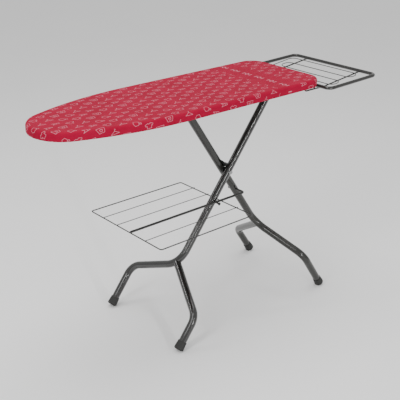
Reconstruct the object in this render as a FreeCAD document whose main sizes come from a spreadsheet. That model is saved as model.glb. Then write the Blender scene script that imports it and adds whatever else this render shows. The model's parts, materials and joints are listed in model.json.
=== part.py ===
import FreeCAD, Part
import math
import os
import Sketcher
from FreeCAD import Placement, Rotation, Vector

# Ironing board on two crossed single-tube legs, with a wire laundry shelf and a wire iron rest.
# Frame: +X from the rounded nose to the iron rest, +Z up, floor at Z = 0, origin under the
# middle of the whole object. Millimetres throughout.

doc = FreeCAD.newDocument("IroningBoard")

DRIVING = {
    # padded table
    "table_height": 902, "nose_x": -725, "end_x": 436, "half_width": 197,
    "nose_radius": 130, "taper_x": -225, "corner_radius": 70, "skirt": 32,
    "edge_round": 11, "cover_gauge": 1.2, "pad_gauge": 8, "pad_inset": 3.4, "hem_width": 24,
    "panel_gauge": 1.2, "panel_inset": 7, "rim_radius": 7, "rim_inset": 10,
    "vent_radius": 9, "vent_pitch": 34, "brace_width": 30, "brace_depth": 10,
    # legs
    "pivot_x": 105, "pivot_height": 549, "bar_height": 855, "leg_offset": 16.5,
    "leg_radius": 15, "leg_wall": 1.5, "foot_reach_a": 415, "foot_reach_b": 360,
    "foot_end_a": 8.1, "foot_end_b": 7.2, "foot_spread": 212,
    "crotch_a": 405, "knee_a": 504, "branch_knee_a": 548,
    "crotch_b": 341, "knee_b": 455, "branch_knee_b": 502,
    "crotch_bend": 92, "knee_bend": 60, "branch_turn": 38,
    "hinge_bar_radius": 10, "slide_bar_radius": 8, "bar_half": 92, "bar_wall": 1.5,
    "foot_radius": 19, "foot_neck": 17, "foot_length": 34, "foot_round": 5,
    # scissor pivot
    "bolt_radius": 4, "bolt_head": 9, "fit_gap": 0.06, "washer_radius": 13,
    # shelf
    "shelf_left": -382, "shelf_right": 56, "shelf_half": 212, "shelf_height": 443,
    "shelf_wire": 2.25, "shelf_corner": 9, "grid_wire": 1.5, "shelf_bar": 4.5,
    "bar_side": 42,
    # iron rest
    "rest_inner": 441, "rest_outer": 718, "rest_half": 220, "rest_height": 861,
    "rest_rise": 7, "rest_tube": 7, "rest_corner": 24, "rail_radius": 3,
    "rail_side": 142, "rail_slope": 6.2, "rail_level_x": 498, "rail_stop_x": 385, "rail_bend": 12,
    "rest_wire": 1.7, "grid_first": 516, "grid_pitch": 52.7, "grid_far": 195, "grid_near": -168, "grid_tucked": 170,
    # under-table hardware
    "rail_gauge": 2.5, "rack_side": 76, "slot_play": 3.4, "bracket_side": 66,
    "flange_gauge": 2, "ear_radius": 24, "ear_flange": 20, "rack_flange": 16, "rack_end": 35,
    "notch_pitch": 38, "tie_radius": 3, "tie_drop": 8, "tie_from_end": 25,
    "rivet_radius": 3.5, "rivet_height": 1.6,
    # release lever
    "lever_gauge": 2.5, "lever_pin": 3, "lever_side": 100, "lever_seat": 26, "lever_setback": 52,
    "grip_length": 42, "grip_width": 22, "grip_height": 9, "grip_round": 3,
}

sheet = doc.addObject("Spreadsheet::Sheet", "Dimensions")
for row, (alias, number) in enumerate(DRIVING.items(), start=1):
    sheet.set("A%d" % row, alias)
    sheet.set("B%d" % row, str(number))
    sheet.setAlias("B%d" % row, alias)
doc.recompute()


def dim(alias):
    """Value of one driving dimension, read back from the sheet."""
    return float(sheet.get(alias))


def bind(obj, **links):
    """Tie properties of an object to expressions over the sheet."""
    for name, expression in links.items():
        obj.setExpression(name, expression)


AXIS_Y = Vector(0, 1, 0)
AXIS_Z = Vector(0, 0, 1)
SUBPARTS = {}
THROUGH = 60  # half length of the tools that cut right through a leg tube or a plate
SINK = 0.1  # how far one welded wire sinks into another
NOTCHES = 7


def keep(name, obj, placement=None):
    """Name a finished sub-part and put it in its place."""
    if placement is not None:
        obj.Placement = placement
    obj.Label = name
    SUBPARTS[name] = obj
    return obj


# ---------------------------------------------------------------- leg geometry
PIVOT = Vector(dim("pivot_x"), 0, dim("pivot_height"))


def leg_angle(reach, end_height):
    """Slope of a leg over the floor, in degrees."""
    return math.degrees(math.atan2(dim("pivot_height") - end_height, reach))


ANGLE_A = leg_angle(dim("foot_reach_a"), dim("foot_end_a"))
ANGLE_B = leg_angle(dim("foot_reach_b"), dim("foot_end_b"))
RISE = dim("bar_height") - dim("pivot_height")
UPPER_A = RISE / math.sin(math.radians(ANGLE_A))
UPPER_B = RISE / math.sin(math.radians(ANGLE_B))
LOWER_A = math.hypot(dim("foot_reach_a"), dim("pivot_height") - dim("foot_end_a"))
LOWER_B = math.hypot(dim("foot_reach_b"), dim("pivot_height") - dim("foot_end_b"))
HINGE = Vector(dim("pivot_x") + UPPER_A * math.cos(math.radians(ANGLE_A)), 0, dim("bar_height"))
SLIDE = Vector(dim("pivot_x") - UPPER_B * math.cos(math.radians(ANGLE_B)), 0, dim("bar_height"))

FOLD_END_A = math.radians(5.5)
FOLD_END_B = math.asin(UPPER_A * math.sin(FOLD_END_A) / UPPER_B)
SCISSOR = ANGLE_A + ANGLE_B - math.degrees(FOLD_END_A + FOLD_END_B)


def leg_frame(side, start):
    """Placement whose +X runs down a leg from the point start; side -1 is leg A, +1 is leg B."""
    angle = ANGLE_A if side < 0 else ANGLE_B
    pitch = angle if side > 0 else 180 - angle
    flip = Rotation(Vector(1, 0, 0), 180) if side > 0 else Rotation()
    base = start + Vector(0, side * dim("leg_offset"), 0)
    return Placement(base, Rotation(AXIS_Y, pitch) * flip)


# ---------------------------------------------------------------- bent tubes
def origin_plane(body, role):
    """One of a body's own origin planes."""
    return [f for f in body.Origin.OriginFeatures if f.Role == role][0]


def new_sketch(body, role, name):
    sketch = body.newObject("Sketcher::SketchObject", name)
    sketch.AttachmentSupport = [(origin_plane(body, role), "")]
    sketch.MapMode = "FlatFace"
    return sketch


def rounded_path(corners, radius, closed=False):
    """Lines and tangent arcs through a flat list of corners."""
    count = len(corners)
    starts, ends, arcs = {}, {}, {}
    turning = range(count) if closed else range(1, count - 1)
    for i in turning:
        here = corners[i]
        before = (corners[i - 1] - here).normalize()
        after = (corners[(i + 1) % count] - here).normalize()
        half = before.getAngle(after) / 2
        reach = radius / math.tan(half)
        ends[i] = here + before * reach
        starts[i] = here + after * reach
        centre = here + (before + after).normalize() * (radius / math.sin(half))
        middle = centre + (here - centre).normalize() * radius
        arcs[i] = Part.Arc(ends[i], middle, starts[i])
    edges = []
    for i in range(count if closed else count - 1):
        following = (i + 1) % count
        first = starts.get(i, corners[i])
        last = ends.get(following, corners[following])
        edges.append(Part.LineSegment(first, last))
        if following in arcs:
            edges.append(arcs[following])
    return edges


def add_blocked(sketch, edges):
    """Draw edges in a sketch, and fix them where the dimensions put them."""
    for edge in edges:
        index = sketch.addGeometry(edge, False)
        sketch.addConstraint(Sketcher.Constraint("Block", index))


def pipe_body(name, edges, outer, wall=None, role="YZ_Plane", at=(0, 0)):
    """Round tube or wire swept along flat edges in the body's XY plane."""
    body = doc.addObject("PartDesign::Body", name)
    path = new_sketch(body, "XY_Plane", name + "_path")
    add_blocked(path, edges)
    section = new_sketch(body, role, name + "_section")
    radii = [outer] if wall is None else [outer, "%s - Dimensions.%s" % (outer, wall)]
    for number, expression in enumerate(radii):
        circle = Part.Circle(Vector(at[0], at[1], 0), AXIS_Z, 10 - number)
        index = section.addGeometry(circle, False)
        section.addConstraint(Sketcher.Constraint("DistanceX", -1, 1, index, 3, at[0]))
        section.addConstraint(Sketcher.Constraint("DistanceY", -1, 1, index, 3, at[1]))
        size = section.addConstraint(Sketcher.Constraint("Radius", index, circle.Radius))
        section.setExpression("Constraints[%d]" % size, expression)
    pipe = body.newObject("PartDesign::AdditivePipe", name + "_pipe")
    pipe.Profile = section
    pipe.Spine = (path, ["Edge%d" % (i + 1) for i in range(len(edges))])
    path.Visibility = False
    section.Visibility = False
    return body


def cylinder(name, radius, height, placement):
    """Plain round bar or pin; radius and height are expressions."""
    bar = doc.addObject("Part::Cylinder", name)
    bind(bar, Radius=radius, Height=height)
    bar.Placement = placement
    return bar


def cut(name, base, *tools):
    """Base less one or more tools."""
    result = base
    for number, tool in enumerate(tools):
        step = doc.addObject("Part::Cut", "%s_cut%d" % (name, number))
        step.Base = result
        step.Tool = tool
        result = step
    return result


def along_y(x, y, z):
    """Placement that turns a cylinder's axis to +Y, starting at a point."""
    return Placement(Vector(x, y, z), Rotation(Vector(1, 0, 0), -90))


def box(name, length, width, height, corner):
    """Box with expression sizes and its low corner at a point."""
    block = doc.addObject("Part::Box", name)
    bind(block, Length=length, Width=width, Height=height)
    block.Placement = Placement(corner, Rotation())
    return block


def fused(name, shapes):
    join = doc.addObject("Part::MultiFuse", name)
    join.Shapes = shapes
    return join


# ---------------------------------------------------------------- legs
def leg_path(upper, lower, crotch, knee):
    """Main tube: straight, then across to one side, then down to its foot."""
    spread = dim("foot_spread") + dim("leg_offset")
    corners = [
        Vector(0, 0, 0),
        Vector(upper + crotch, 0, 0),
        Vector(upper + knee, spread, 0),
        Vector(upper + lower - dim("foot_round"), spread, 0),
    ]
    first = rounded_path(corners[:3], dim("crotch_bend"))
    second = rounded_path(corners[1:], dim("knee_bend"))
    across = Part.LineSegment(first[2].StartPoint, second[0].EndPoint)
    return first[:2] + [across] + second[1:]


def branch_path(upper, lower, crotch, knee, branch_knee):
    """Second foot tube, from the main tube's bend to the other side; starts along its own run."""
    bend_start = leg_path(upper, lower, crotch, knee)[0].EndPoint
    centre = bend_start + Vector(0, dim("crotch_bend"), 0)
    turn = math.radians(dim("branch_turn"))
    start = centre + Vector(math.sin(turn), -math.cos(turn), 0) * dim("crotch_bend")
    spread = dim("foot_spread") - dim("leg_offset")
    corner = Vector(upper + branch_knee, -spread, 0)
    end = Vector(upper + lower - dim("foot_round"), -spread, 0)
    run = corner - start
    heading = math.degrees(math.atan2(run.y, run.x))
    local = [Placement(start, Rotation(AXIS_Z, heading)).inverse().multVec(p) for p in (start, corner, end)]
    return rounded_path(local, dim("knee_bend")), Placement(start, Rotation(AXIS_Z, heading))


def foot(name, leg, distance, side_shift):
    """Slip-on rubber foot: flared sleeve with a rounded rim, worn flat where it meets the floor."""
    sleeve_gap = 0.02
    body = doc.addObject("PartDesign::Body", name + "_body")
    sketch = new_sketch(body, "XY_Plane", name + "_profile")
    inner = dim("leg_radius") + sleeve_gap
    length = dim("foot_length")
    rim = dim("foot_round")
    broad = dim("foot_radius")
    neck = dim("foot_neck")
    corner = Vector(rim, broad, 0)
    quarter = Part.Arc(
        Vector(0, broad - rim, 0),
        Vector(rim * (1 - math.sqrt(0.5)), broad - rim * (1 - math.sqrt(0.5)), 0),
        corner,
    )
    add_blocked(sketch, [
        Part.LineSegment(Vector(0, 0, 0), Vector(0, broad - rim, 0)),
        quarter,
        Part.LineSegment(corner, Vector(length, neck, 0)),
        Part.LineSegment(Vector(length, neck, 0), Vector(length, inner, 0)),
        Part.LineSegment(Vector(length, inner, 0), Vector(rim, inner, 0)),
        Part.LineSegment(Vector(rim, inner, 0), Vector(rim, 0, 0)),
        Part.LineSegment(Vector(rim, 0, 0), Vector(0, 0, 0)),
    ])
    turned = body.newObject("PartDesign::Revolution", name + "_turned")
    turned.Profile = sketch
    turned.ReferenceAxis = (sketch, ["H_Axis"])
    turned.Angle = 360
    body.Placement = leg * Placement(Vector(distance, side_shift, 0), Rotation(AXIS_Z, 180))
    floor = doc.addObject("Part::Box", name + "_floor")
    floor.Length = floor.Width = 2 * THROUGH
    floor.Height = THROUGH
    middle = body.Placement.Base
    floor.Placement = Placement(Vector(middle.x - THROUGH, middle.y - THROUGH, -THROUGH), Rotation())
    keep(name, cut(name, body, floor))


def leg(letter, side, upper, lower, start):
    """One leg: main tube, branch tube, top cross bar, bar plugs and two feet."""
    small = letter.lower()
    crotch = dim("crotch_" + small)
    knee = dim("knee_" + small)
    branch_knee = dim("branch_knee_" + small)
    frame = leg_frame(side, start)
    bar_radius = "Dimensions.hinge_bar_radius" if side < 0 else "Dimensions.slide_bar_radius"
    name = "leg_" + small
    plug_head, plug_stem = 2, 12
    spare_radius, spare_distance = 3.5, 19
    through = "%g" % (2 * THROUGH)

    def bar_solid(suffix, radius):
        place = along_y(start.x, -dim("bar_half"), start.z)
        return cylinder(name + suffix, radius, "2 * Dimensions.bar_half", place)

    main = pipe_body(name + "_main", leg_path(upper, lower, crotch, knee), "Dimensions.leg_radius", "leg_wall")
    main.Placement = frame
    holes = [bar_solid("_bar_cope", bar_radius)]
    pivot_place = along_y(PIVOT.x, -THROUGH, PIVOT.z)
    holes.append(cylinder(name + "_bolt_hole", "Dimensions.bolt_radius + Dimensions.fit_gap", through, pivot_place))
    if side > 0:
        shelf_place = along_y(SHELF_PIN.x, -THROUGH, SHELF_PIN.z)
        size = "Dimensions.shelf_bar + Dimensions.fit_gap"
        holes.append(cylinder(name + "_shelf_hole", size, through, shelf_place))
        spare = SHELF_PIN + (PIVOT - SHELF_PIN).normalize() * spare_distance
        spare_place = along_y(spare.x, -THROUGH, spare.z)
        holes.append(cylinder(name + "_spare_hole", "%g" % spare_radius, through, spare_place))
    keep(name + "_tube", cut(name + "_tube", main, *holes))

    edges, shift = branch_path(upper, lower, crotch, knee, branch_knee)
    branch = pipe_body(name + "_side", edges, "Dimensions.leg_radius", "leg_wall")
    branch.Placement = frame * shift
    solid_main = pipe_body(name + "_cope", leg_path(upper, lower, crotch, knee), "Dimensions.leg_radius")
    solid_main.Placement = frame
    coped = cut(name + "_branch", branch, solid_main)
    doc.recompute()
    pieces = sorted(coped.Shape.Solids, key=lambda s: s.Volume)
    if len(pieces) > 1:
        scrap = doc.addObject("Part::Feature", name + "_scrap")
        scrap.Shape = Part.makeCompound(pieces[:-1])
        coped = cut(name + "_trim", coped, scrap)
    keep(name + "_branch", coped)

    bore = "%s - Dimensions.bar_wall" % bar_radius
    bar = cut(name + "_bar", bar_solid("_bar_outer", bar_radius), bar_solid("_bar_bore", bore))
    keep(name + ("_hinge_bar" if side < 0 else "_slide_bar"), bar)
    for hand, sign in (("left", 1), ("right", -1)):
        face = sign * dim("bar_half")
        head_place = along_y(start.x, min(face, face + sign * plug_head), start.z)
        head = cylinder("%s_plug_%s" % (name, hand), bar_radius, "%g" % plug_head, head_place)
        stem_place = along_y(start.x, min(face, face - sign * plug_stem), start.z)
        stem = cylinder("%s_stem_%s" % (name, hand), bore, "%g" % plug_stem, stem_place)
        keep("%s_bar_plug_%s" % (name, hand), fused("%s_plugged_%s" % (name, hand), [head, stem]))

    spread = dim("foot_spread")
    main_side = spread + dim("leg_offset")
    branch_side = -(spread - dim("leg_offset"))
    hands = ("left", "right") if side < 0 else ("right", "left")
    foot("%s_foot_%s" % (name, hands[0]), frame, upper + lower, main_side)
    foot("%s_foot_%s" % (name, hands[1]), frame, upper + lower, branch_side)


def on_leg_b(height):
    """Point of leg B's axis line, in the middle plane, at a height."""
    drop = dim("pivot_height") - height
    return Vector(PIVOT.x + drop / math.tan(math.radians(ANGLE_B)), 0, height)


def on_leg_a(height):
    """Point of leg A's axis line, in the middle plane, at a height."""
    drop = dim("pivot_height") - height
    return Vector(PIVOT.x - drop / math.tan(math.radians(ANGLE_A)), 0, height)


BAR_LEVEL = dim("shelf_height") + dim("shelf_wire") + dim("shelf_bar")
SHELF_PIN = on_leg_b(BAR_LEVEL)
SHELF_REST = on_leg_a(BAR_LEVEL)

leg("A", -1, UPPER_A, LOWER_A, HINGE)
leg("B", 1, UPPER_B, LOWER_B, SLIDE)


# ---------------------------------------------------------------- scissor pivot
# side view of the saddle, measured from the pivot, before the tubes' hollows are cut in it
SADDLE_OUTLINE = [(2, 14.5), (-24, 49), (-12, 38), (2, 30), (20, 23)]


def pivot():
    """Bolt with a domed head through both legs, cap nut, washer, and the saddle in the upper V."""
    reach = dim("leg_offset") + dim("leg_radius")
    thread_end = 5
    collar_height = 0.5
    dome_height = 5
    nut_radius, nut_height, nut_gap, nut_depth = 7.5, 6, 0.3, 4.7
    washer_play = 0.3
    shank = cylinder("bolt_shank", "Dimensions.bolt_radius", "%g" % (2 * reach + thread_end),
                     along_y(PIVOT.x, -reach, PIVOT.z))
    head = doc.addObject("Part::Sphere", "bolt_dome")
    bind(head, Radius="Dimensions.bolt_head")
    head.Angle1 = 0
    head.Placement = Placement(Vector(PIVOT.x, -reach, PIVOT.z), Rotation(Vector(1, 0, 0), 90))
    collar = cylinder("bolt_collar", "Dimensions.bolt_head", "%g" % collar_height,
                      along_y(PIVOT.x, -reach - collar_height, PIVOT.z))
    squash = doc.addObject("Part::Box", "bolt_trim")
    squash.Length = squash.Height = 2 * THROUGH
    squash.Width = THROUGH
    squash_y = -reach - collar_height - dome_height - THROUGH
    squash.Placement = Placement(Vector(PIVOT.x - THROUGH, squash_y, PIVOT.z - THROUGH), Rotation())
    domed = cut("bolt_head_shape", head, squash)
    keep("pivot_bolt", fused("pivot_bolt_shape", [shank, collar, domed]))

    nut = doc.addObject("Part::Prism", "nut_prism")
    nut.Polygon = 6
    nut.Circumradius = nut_radius
    nut.Height = nut_height
    nut.Placement = along_y(PIVOT.x, reach + nut_gap, PIVOT.z)
    bore = cylinder("nut_bore", "Dimensions.bolt_radius", "%g" % nut_depth, nut.Placement)
    keep("pivot_nut", cut("pivot_nut_shape", nut, bore))

    gap = dim("leg_offset") - dim("leg_radius")
    disc = cylinder("washer_disc", "Dimensions.washer_radius", "%g" % (2 * (gap - washer_play)),
                    along_y(PIVOT.x, washer_play - gap, PIVOT.z))
    eye = cylinder("washer_eye", "Dimensions.bolt_radius + %g" % washer_play, "%g" % (2 * THROUGH),
                   along_y(PIVOT.x, -THROUGH, PIVOT.z))
    keep("pivot_washer", cut("pivot_washer_shape", disc, eye))

    block = doc.addObject("PartDesign::Body", "saddle_block")
    sketch = new_sketch(block, "XZ_Plane", "saddle_outline")
    outline = [Vector(x, z, 0) for x, z in SADDLE_OUTLINE]
    add_blocked(sketch, [Part.LineSegment(a, b) for a, b in zip(outline, outline[1:] + outline[:1])])
    pad = block.newObject("PartDesign::Pad", "saddle_pad")
    pad.Profile = sketch
    pad.Length = 2 * dim("leg_radius")
    pad.Midplane = True
    block.Placement = Placement(PIVOT, Rotation())
    tools = []
    folded = Placement(Vector(), Rotation(AXIS_Y, SCISSOR), PIVOT)
    beside_a = leg_frame(-1, PIVOT)
    beside_b = leg_frame(1, PIVOT)
    for place, clearance in ((beside_a, 0.5), (folded * beside_a, 0.8), (beside_b, 0.0)):
        radius = "Dimensions.leg_radius + %g" % clearance
        shaft = cylinder("saddle_tool%d" % len(tools), radius, "%g" % (2 * THROUGH), Placement())
        shaft.Placement = place * Placement(Vector(-THROUGH, 0, 0), Rotation(AXIS_Y, 90))
        tools.append(shaft)
    keep("pivot_saddle", cut("pivot_saddle_shape", block, *tools))


pivot()


# ---------------------------------------------------------------- table outline
def outline_edges(inset):
    """Table outline, moved in by inset: round nose, long tapering arcs, straight sides, round corners."""
    nose = dim("nose_radius")
    half = dim("half_width")
    taper = dim("taper_x")
    centre_x = dim("nose_x") + nose
    run = taper - centre_x
    flank = (run ** 2 + half ** 2 - nose ** 2) / (2 * (half - nose))
    flank_centre = Vector(taper, half - flank, 0)
    nose_centre = Vector(centre_x, 0, 0)
    joint_direction = (nose_centre - flank_centre).normalize()
    meet = nose_centre + joint_direction * (nose - inset)
    middle_direction = (joint_direction + Vector(0, 1, 0)).normalize()
    flank_middle = flank_centre + middle_direction * (flank - inset)
    side_start = Vector(taper, half - inset, 0)
    corner = dim("corner_radius")
    corner_centre = Vector(dim("end_x") - corner, half - corner, 0)
    side_end = corner_centre + Vector(0, corner - inset, 0)
    diagonal = corner_centre + Vector(1, 1, 0).normalize() * (corner - inset)
    end_top = corner_centre + Vector(corner - inset, 0, 0)

    def low(point):
        return Vector(point.x, -point.y, point.z)

    tip = Vector(dim("nose_x") + inset, 0, 0)
    return [
        Part.LineSegment(low(end_top), end_top),
        Part.Arc(end_top, diagonal, side_end),
        Part.LineSegment(side_end, side_start),
        Part.Arc(side_start, flank_middle, meet),
        Part.Arc(meet, tip, low(meet)),
        Part.Arc(low(meet), low(flank_middle), low(side_start)),
        Part.LineSegment(low(side_start), low(side_end)),
        Part.Arc(low(side_end), low(diagonal), low(end_top)),
    ]


def slab(name, inset, height, thickness):
    """Flat plate of the table's outline, its underside at a height."""
    body = doc.addObject("PartDesign::Body", name)
    sketch = new_sketch(body, "XY_Plane", name + "_outline")
    add_blocked(sketch, outline_edges(inset))
    pad = body.newObject("PartDesign::Pad", name + "_pad")
    pad.Profile = sketch
    bind(pad, Length=thickness)
    body.Placement = Placement(Vector(0, 0, height), Rotation())
    return body, pad


def top_edges(shape, height):
    """Names of the edges of a shape that lie at a height."""
    names = []
    for number, edge in enumerate(shape.Edges, start=1):
        bounds = edge.BoundBox
        if abs(bounds.ZMin - height) < 0.01 and abs(bounds.ZMax - height) < 0.01:
            names.append("Edge%d" % number)
    return names


def rounded_slab(name, inset, height, thickness, radius):
    """Plate of the table's outline with its top edge rounded."""
    body, pad = slab(name, inset, height, thickness)
    doc.recompute()
    fillet = body.newObject("PartDesign::Fillet", name + "_round")
    fillet.Base = (pad, top_edges(pad.Shape, pad.Shape.BoundBox.ZMax))
    bind(fillet, Radius=radius)
    body.Tip = fillet
    return body


TOP = dim("table_height")
PAD_TOP = TOP - dim("cover_gauge")
PANEL_TOP = PAD_TOP - dim("pad_gauge")
PANEL_LOW = PANEL_TOP - dim("panel_gauge")
SKIRT_LOW = TOP - dim("skirt")
BRACE_LOW = PANEL_LOW - dim("brace_depth")


def rim_route():
    """Outline of the rim's centre line, starting in the middle of the wide end."""
    edges = outline_edges(dim("rim_inset"))
    end = edges[0]
    middle = (end.StartPoint + end.EndPoint) / 2
    halves = Part.LineSegment(middle, end.EndPoint), Part.LineSegment(end.StartPoint, middle)
    return [halves[0]] + edges[1:] + [halves[1]]


def table():
    """Perforated panel on a bent rim tube, with braces, felt pad and fitted cover."""
    panel, _ = slab("panel_sheet", dim("panel_inset"), PANEL_LOW, "Dimensions.panel_gauge")
    pitch = dim("vent_pitch")
    row_pitch = pitch * math.sqrt(3) / 2
    land = 12
    margin = dim("panel_inset") + dim("rim_inset") + dim("vent_radius") + land
    limits = Part.Face(Part.Wire([edge.toShape() for edge in outline_edges(margin)]))
    vents = doc.addObject("Part::Feature", "vent_cutters")
    cutters = []
    rows = int(2 * dim("half_width") / row_pitch) + 2
    columns = int((dim("end_x") - dim("nose_x")) / pitch) + 2
    for row in range(-rows // 2, rows // 2 + 1):
        for column in range(columns):
            place = Vector(dim("nose_x") + (column + 0.5 * (row % 2)) * pitch, row * row_pitch, 0)
            if limits.isInside(place, 0.01, True):
                low = place + Vector(0, 0, PANEL_LOW - THROUGH)
                cutters.append(Part.makeCylinder(dim("vent_radius"), 2 * THROUGH, low))
    vents.Shape = Part.makeCompound(cutters)
    keep("table_panel", cut("table_panel_shape", panel, vents))

    start = (dim("end_x") - dim("rim_inset"), 0)
    route = rim_route()
    rim = pipe_body("rim_outer", route, "Dimensions.rim_radius", None, "XZ_Plane", start)
    bore = pipe_body("rim_bore", route, "Dimensions.rim_radius - Dimensions.panel_gauge", None, "XZ_Plane", start)
    tube = cut("rim_tube", rim, bore)
    keep("table_rim", tube, Placement(Vector(0, 0, PANEL_LOW - dim("rim_radius")), Rotation()))

    pad_flat = 0.2
    pad = rounded_slab("pad_slab", dim("pad_inset"), PANEL_TOP, "Dimensions.pad_gauge",
                       "Dimensions.pad_gauge - %g" % pad_flat)
    keep("felt_pad", pad)

    outer = rounded_slab("cover_outer", 0, SKIRT_LOW, "Dimensions.skirt", "Dimensions.edge_round")
    hollow = rounded_slab("cover_hollow", dim("cover_gauge"), SKIRT_LOW + dim("cover_gauge"),
                          "Dimensions.skirt - 2 * Dimensions.cover_gauge",
                          "Dimensions.edge_round - Dimensions.cover_gauge")
    mouth_depth = 6
    mouth, _ = slab("cover_mouth", dim("hem_width"), SKIRT_LOW - mouth_depth, "%g" % (2 * mouth_depth))
    keep("cover", cut("cover_shape", outer, hollow, mouth))


table()

# place along the table and half length of each brace
BRACES = {"nose": (-520, 137), "middle": (-8, 178), "hinge": (262, 178), "end": (385, 156)}


def braces():
    """Pressed steel cross members that stiffen the panel and carry the hardware."""
    low = BRACE_LOW
    wall = 1.5
    for name, (x, reach) in BRACES.items():
        width = dim("brace_width")
        outer = box("brace_%s_outer" % name, "Dimensions.brace_width", "%g" % (2 * reach), "Dimensions.brace_depth",
                    Vector(x - width / 2, -reach, low))
        inner = box("brace_%s_inner" % name, "Dimensions.brace_width - %g" % (2 * wall), "%g" % (2 * reach + 2),
                    "Dimensions.brace_depth", Vector(x - width / 2 + wall, -reach - 1, low + wall))
        keep("panel_brace_" + name, cut("brace_%s_shape" % name, outer, inner))


braces()


# ---------------------------------------------------------------- under-table hardware
def hinge_brackets():
    """Two plates that carry leg A's cross bar."""
    for hand, sign in (("left", 1), ("right", -1)):
        side = sign * dim("bracket_side")
        gauge = dim("rail_gauge")
        near = side if sign > 0 else side - gauge
        first_x = HINGE.x - dim("ear_radius")
        plate = box("hinge_plate_" + hand, "2 * Dimensions.ear_radius", "Dimensions.rail_gauge",
                    "%g" % (BRACE_LOW - HINGE.z), Vector(first_x, near, HINGE.z))
        ear = cylinder("hinge_ear_" + hand, "Dimensions.ear_radius", "Dimensions.rail_gauge",
                       along_y(HINGE.x, near, HINGE.z))
        flange_y = side if sign > 0 else side - dim("ear_flange")
        flange = box("hinge_flange_" + hand, "2 * Dimensions.ear_radius", "Dimensions.ear_flange",
                     "Dimensions.flange_gauge", Vector(first_x, flange_y, BRACE_LOW - dim("flange_gauge")))
        eye = cylinder("hinge_eye_" + hand, "Dimensions.hinge_bar_radius + Dimensions.fit_gap", "20",
                       along_y(HINGE.x, side - 10, HINGE.z))
        solid = fused("hinge_bracket_solid_" + hand, [plate, ear, flange])
        keep("hinge_bracket_" + hand, cut("hinge_bracket_shape_" + hand, solid, eye))


def folded_slide():
    """X of leg B's cross bar when the legs are folded."""
    return HINGE.x - UPPER_A * math.cos(FOLD_END_A) - UPPER_B * math.cos(FOLD_END_B)


TIE_PLACES = (folded_slide() - dim("tie_from_end"), SLIDE.x + dim("tie_from_end"))
TIE_HEIGHT = PANEL_LOW - dim("tie_drop")


def rack_rails():
    """Two slotted rails in which leg B's cross bar slides, notched for the working heights."""
    reach = dim("slide_bar_radius") + dim("slot_play")
    first = SLIDE.x
    last = folded_slide()
    gauge = dim("rail_gauge")
    end = dim("rack_end")
    lip, notch_play, notch_rise = 8, 0.8, 3
    low = dim("bar_height") - reach - lip
    for hand, sign in (("left", 1), ("right", -1)):
        side = sign * dim("rack_side")
        near = side if sign > 0 else side - gauge
        plate = box("rack_plate_" + hand, "%g" % (first - last + 2 * end), "Dimensions.rail_gauge",
                    "%g" % (PANEL_LOW - low), Vector(last - end, near, low))
        flange_y = side if sign > 0 else side - dim("rack_flange")
        flange = box("rack_flange_" + hand, "%g" % (first - last + 2 * end), "Dimensions.rack_flange",
                     "Dimensions.flange_gauge", Vector(last - end, flange_y, PANEL_LOW - dim("flange_gauge")))
        tools = []
        slot = doc.addObject("Part::Box", "rack_slot_" + hand)
        slot.Length = first - last
        slot.Width = 20
        slot.Height = 2 * reach
        slot.Placement = Placement(Vector(last, side - 10, dim("bar_height") - reach), Rotation())
        tools.append(slot)
        for slot_end, x in (("front", last), ("back", first)):
            tools.append(cylinder("rack_%s_%s" % (slot_end, hand), "%g" % reach, "20",
                                  along_y(x, side - 10, dim("bar_height"))))
        for notch in range(NOTCHES):
            place = along_y(first - notch * dim("notch_pitch"), side - 10, dim("bar_height") + reach - notch_rise)
            tools.append(cylinder("rack_notch%d_%s" % (notch, hand),
                                  "Dimensions.slide_bar_radius + %g" % notch_play, "20", place))
        for number, x in enumerate(TIE_PLACES):
            place = along_y(x, side - 10, TIE_HEIGHT)
            tools.append(cylinder("rack_tie_hole%d_%s" % (number, hand), "Dimensions.tie_radius", "20", place))
        solid = fused("rack_solid_" + hand, [plate, flange])
        keep("rack_rail_" + hand, cut("rack_shape_" + hand, solid, *tools))


def rack_ties():
    """Cross rods that hold the two rails apart."""
    ties = []
    upset = 3
    half = dim("rack_side") + dim("rail_gauge") + upset
    for number, x in enumerate(TIE_PLACES):
        place = along_y(x, -half, TIE_HEIGHT)
        ties.append(cylinder("tie_rod%d" % number, "Dimensions.tie_radius", "%g" % (2 * half), place))
    group = doc.addObject("Part::Compound", "tie_rods")
    group.Links = ties
    keep("rack_tie_rods", group)


def rivets():
    """Rivet heads under the bracket and rail flanges."""
    heads = []
    bracket_step, bracket_out, rack_out = 15, 11, 10
    flange = dim("flange_gauge")
    run = SLIDE.x - folded_slide()

    def head(x, y, z):
        place = Placement(Vector(x, y, z - dim("rivet_height")), Rotation())
        heads.append(cylinder("rivet%d" % len(heads), "Dimensions.rivet_radius", "Dimensions.rivet_height", place))

    for sign in (1, -1):
        for step in (-bracket_step, bracket_step):
            head(HINGE.x + step, sign * (dim("bracket_side") + bracket_out), BRACE_LOW - flange)
        for third in range(4):
            head(folded_slide() + third * run / 3, sign * (dim("rack_side") + rack_out), PANEL_LOW - flange)
    group = doc.addObject("Part::Compound", "rivet_heads")
    group.Links = heads
    keep("bracket_rivets", group)


hinge_brackets()
rack_rails()
rack_ties()
rivets()


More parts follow.
